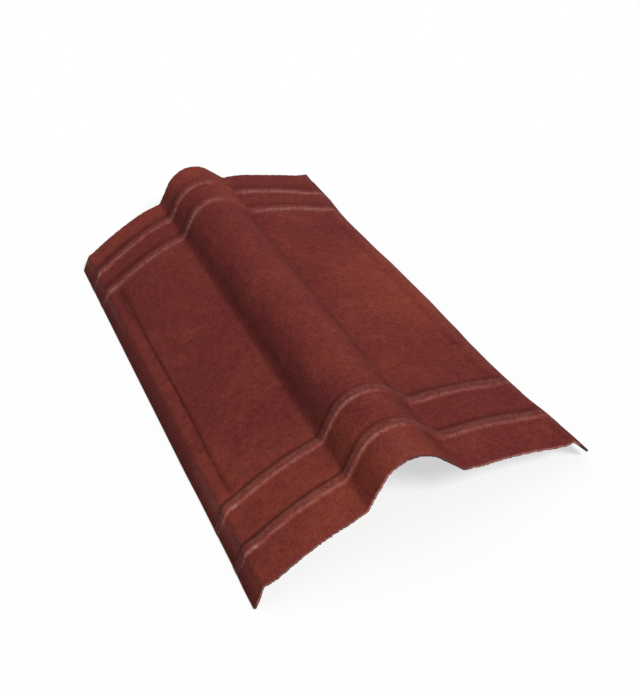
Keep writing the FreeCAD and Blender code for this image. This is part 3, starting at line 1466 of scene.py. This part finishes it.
    def fray(self, mesh: bmesh.types.BMesh) -> None:
        """Make the two cut ends ragged, always inwards of the true length.

        Args:
            mesh: The sheet before it has its thickness.
        """
        half, lip_share = self.form.half, self.form.section.lip_share
        ends = [edge for edge in mesh.edges if all(abs(vert.co.y) > half - TOUCHING for vert in edge.verts)]
        bmesh.ops.subdivide_edges(mesh, edges=ends, cuts=self.end_cuts)
        for vert in mesh.verts:
            near = smooth(abs(vert.co.y), half - self.end_band, half)
            if near > 0.0:
                end = math.copysign(1.0, vert.co.y)
                torn = self.torn + self.coarse_tears.at(vert.co, end)
                torn += self.fine_tears.at(vert.co, end) * near**self.fine_tears_power
                torn *= 1.0 - self.lip_calm * lip_share(abs(vert.co.x))
                vert.co.y -= end * near * self.ragged * max(self.least_torn, torn)

    def thicken(self, mesh: bmesh.types.BMesh) -> None:
        """Give the sheet its thickness, below its upper face, and sort its faces by finish.

        Args:
            mesh: The pressed sheet.
        """
        upper = set(mesh.faces)
        bmesh.ops.solidify(mesh, geom=mesh.faces[:], thickness=self.form.section.thickness)
        lower = [face for face in mesh.faces if face not in upper]
        rim = {face for face in lower if any(self._meets(edge, upper) for edge in face.edges)}
        for face in lower:
            face.material_index = (Side.CUT if face in rim else Side.BARE).value
        for edge in mesh.edges:
            edge.smooth = len({face in rim for face in edge.link_faces}) == 1
        self._roughen_cut(mesh, upper, rim)

    @staticmethod
    def _meets(edge: bmesh.types.BMEdge, faces: set[bmesh.types.BMFace]) -> bool:
        """Return whether an edge bounds one of the faces."""
        return any(face in faces for face in edge.link_faces)

    def _roughen_cut(
        self, mesh: bmesh.types.BMesh, upper: set[bmesh.types.BMFace], rim: set[bmesh.types.BMFace]
    ) -> None:
        """Darken the cut edge with painted shade, from the lips and along the bottom of the near end, and
        dent it between the layers of the two ends.

        Args:
            mesh: The sheet with its thickness.
            upper: The faces of its upper side.
            rim: The faces of its cut edge.
        """
        depth = mesh.verts.layers.float[Layer.DEPTH.value]
        grime = mesh.verts.layers.float[Layer.GRIME_AND_SHADE.value]
        through = []
        for face in rim:
            at_end = abs(face.normal.y) > self.faces_end
            for vert in face.verts:
                below = not any(other in upper for other in vert.link_faces)
                # Painted shade: the lips' shade, and along the bottom of the near end.
                edge_shade = eased(self.near_end_shade, vert.co.x) if vert.co.y < 0 else 0.0
                vert[depth] = 1.0 if below or not at_end else 0.0
                vert[grime] = max(self.paint_marks.on_lip(vert.co), edge_shade)
            if at_end:
                through += [edge for edge in face.edges if all(other in rim for other in edge.link_faces)]
        split = bmesh.ops.subdivide_edges(
            mesh, edges=list(set(through)), cuts=self.layer_cuts, use_grid_fill=True
        )
        for vert in split["geom_inner"]:
            if isinstance(vert, bmesh.types.BMVert):
                dent = 1.0 + noise.noise(vert.co * self.layer_dent_scale)
                vert.co.y *= 1.0 - self.layer_dents * dent

    def warp(self, mesh: bmesh.types.BMesh) -> None:
        """Let the sheet lie as an uneven one does."""
        for vert in mesh.verts:
            self.unevenness.displace(vert.co)

    def build(self) -> bpy.types.Object:
        """Build the sheet and dress it.

        Returns:
            The finished piece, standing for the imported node.
        """
        mesh = bmesh.new()
        self.draw_section(mesh)
        self.draw_out(mesh)
        self.press(mesh)
        self.fray(mesh)
        self.thicken(mesh)
        self.warp(mesh)
        data = bpy.data.meshes.new("ridge_sheet")
        mesh.to_mesh(data)
        mesh.free()
        data.shade_smooth()
        for finish in (self.coated, self.bare, self.cut):
            data.materials.append(finish.material())
        piece = bpy.data.objects.new("ridge_sheet", data)
        bpy.context.scene.collection.objects.link(piece)
        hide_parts("ridge_cap")
        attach(piece, "root")
        return piece


# The studio


@dataclass
class Studio:
    """A white floor, soft light from the near right and the camera of the photograph."""

    floor_size: float = 24.0
    floor_gap: float = 0.0003
    floor_glow: float = 0.6
    bounce_tone: float = 0.50
    sky_strength: float = 0.30
    lamp_direction: tuple[float, float, float] = (0.36, -1.15, 1.0)
    lamp_share: float = 0.70
    lamp_spread: float = 18.0
    camera_place: tuple[float, float, float] = (-0.3406, -1.5669, 1.0928)
    camera_azimuth: float = -13.947
    camera_elevation: float = 34.569
    camera_roll: float = -14.331
    camera_lens: float = 62.025
    camera_sight: float = 50.0

    def lay_floor(self) -> bpy.types.Object:
        """Lay the floor that the cap stands on.

        Returns:
            The floor.
        """
        mesh = bmesh.new()
        bmesh.ops.create_grid(mesh, x_segments=1, y_segments=1, size=self.floor_size / 2)
        bmesh.ops.translate(mesh, vec=(0.0, 0.0, -self.floor_gap), verts=mesh.verts)
        data = bpy.data.meshes.new("floor")
        mesh.to_mesh(data)
        mesh.free()
        data.materials.append(self._floor_material())
        floor = bpy.data.objects.new("floor", data)
        bpy.context.scene.collection.objects.link(floor)
        return floor

    def _floor_material(self) -> bpy.types.Material:
        """Build the floor's finish.

        Returns:
            White with a light shadow to the camera, and grey for the light that it throws back.
        """
        wires = Wiring("floor")
        matte, grey = (wires.add("ShaderNodeBsdfDiffuse") for _ in range(2))
        matte.inputs["Color"].default_value = WHITE
        grey.inputs["Color"].default_value = (self.bounce_tone,) * 3 + (1.0,)
        glow = wires.add("ShaderNodeEmission")
        seen = wires.add("ShaderNodeMixShader")
        wires.feed(seen.inputs[0], self.floor_glow)
        wires.feed(seen.inputs[1], matte.outputs["BSDF"])
        wires.feed(seen.inputs[2], glow.outputs["Emission"])
        rays = wires.add("ShaderNodeLightPath")
        shader = wires.add("ShaderNodeMixShader")
        wires.feed(shader.inputs[0], rays.outputs["Is Camera Ray"])
        wires.feed(shader.inputs[1], grey.outputs["BSDF"])
        wires.feed(shader.inputs[2], seen.outputs["Shader"])
        output = wires.add("ShaderNodeOutputMaterial")
        wires.feed(output.inputs["Surface"], shader.outputs["Shader"])
        return wires.material

    def light_sky(self) -> None:
        """Light the sky, white to the camera and in glossy reflections, and softer on the cap."""
        world = bpy.data.worlds.new("studio")
        world.use_nodes = True
        tree = world.node_tree
        tree.nodes.clear()
        rays = tree.nodes.new("ShaderNodeLightPath")
        seen = tree.nodes.new("ShaderNodeMath")
        seen.operation = "MAXIMUM"
        tree.links.new(rays.outputs["Is Camera Ray"], seen.inputs[0])
        tree.links.new(rays.outputs["Is Glossy Ray"], seen.inputs[1])
        mixed = tree.nodes.new("ShaderNodeMixShader")
        tree.links.new(seen.outputs[0], mixed.inputs[0])
        for socket, strength in ((mixed.inputs[1], self.sky_strength), (mixed.inputs[2], 1.0)):
            background = tree.nodes.new("ShaderNodeBackground")
            background.inputs["Color"].default_value = WHITE
            background.inputs["Strength"].default_value = strength
            tree.links.new(background.outputs[0], socket)
        output = tree.nodes.new("ShaderNodeOutputWorld")
        tree.links.new(mixed.outputs[0], output.inputs["Surface"])
        bpy.context.scene.world = world

    def hang_lamp(self) -> None:
        """Hang one wide, soft lamp, as strong on the level floor wherever it hangs."""
        sun = bpy.data.lights.new("lamp", "SUN")
        sun.energy = self.lamp_share * math.pi * Vector(self.lamp_direction).length / self.lamp_direction[2]
        sun.angle = math.radians(self.lamp_spread)
        lamp = bpy.data.objects.new("lamp", sun)
        lamp.rotation_euler = Vector(self.lamp_direction).to_track_quat("Z", "Y").to_euler()
        bpy.context.scene.collection.objects.link(lamp)

    def aim_camera(self) -> None:
        """Place the camera where the photograph was taken from."""
        azimuth, elevation, roll = self.camera_azimuth, self.camera_elevation, self.camera_roll
        level = cosine(elevation)
        back = Vector((sine(azimuth) * level, -cosine(azimuth) * level, sine(elevation)))
        right = (-back).cross(Vector((0.0, 0.0, 1.0))).normalized()
        up = right.cross(-back)
        turned_right = right * cosine(roll) + up * sine(roll)
        turned_up = up * cosine(roll) - right * sine(roll)
        data = bpy.data.cameras.new("camera")
        data.lens = self.camera_lens
        data.clip_end = self.camera_sight
        camera = bpy.data.objects.new("camera", data)
        turn = Matrix((turned_right, turned_up, back)).transposed().to_4x4()
        camera.matrix_world = Matrix.Translation(Vector(self.camera_place)) @ turn
        bpy.context.scene.collection.objects.link(camera)
        bpy.context.scene.camera = camera


def main() -> None:
    """Build the cap and its studio, and report each piece."""
    logging.basicConfig(level=logging.INFO, format="%(name)s: %(message)s")
    bpy.context.scene.view_settings.view_transform = "Standard"
    sheet = RidgeSheet().build()
    LOG.info("%s: %d faces", sheet.name, len(sheet.data.polygons))
    studio = Studio()
    floor = studio.lay_floor()
    LOG.info("%s: %d faces", floor.name, len(floor.data.polygons))
    studio.light_sky()
    studio.hang_lamp()
    studio.aim_camera()


if __name__ == "__main__":
    main()
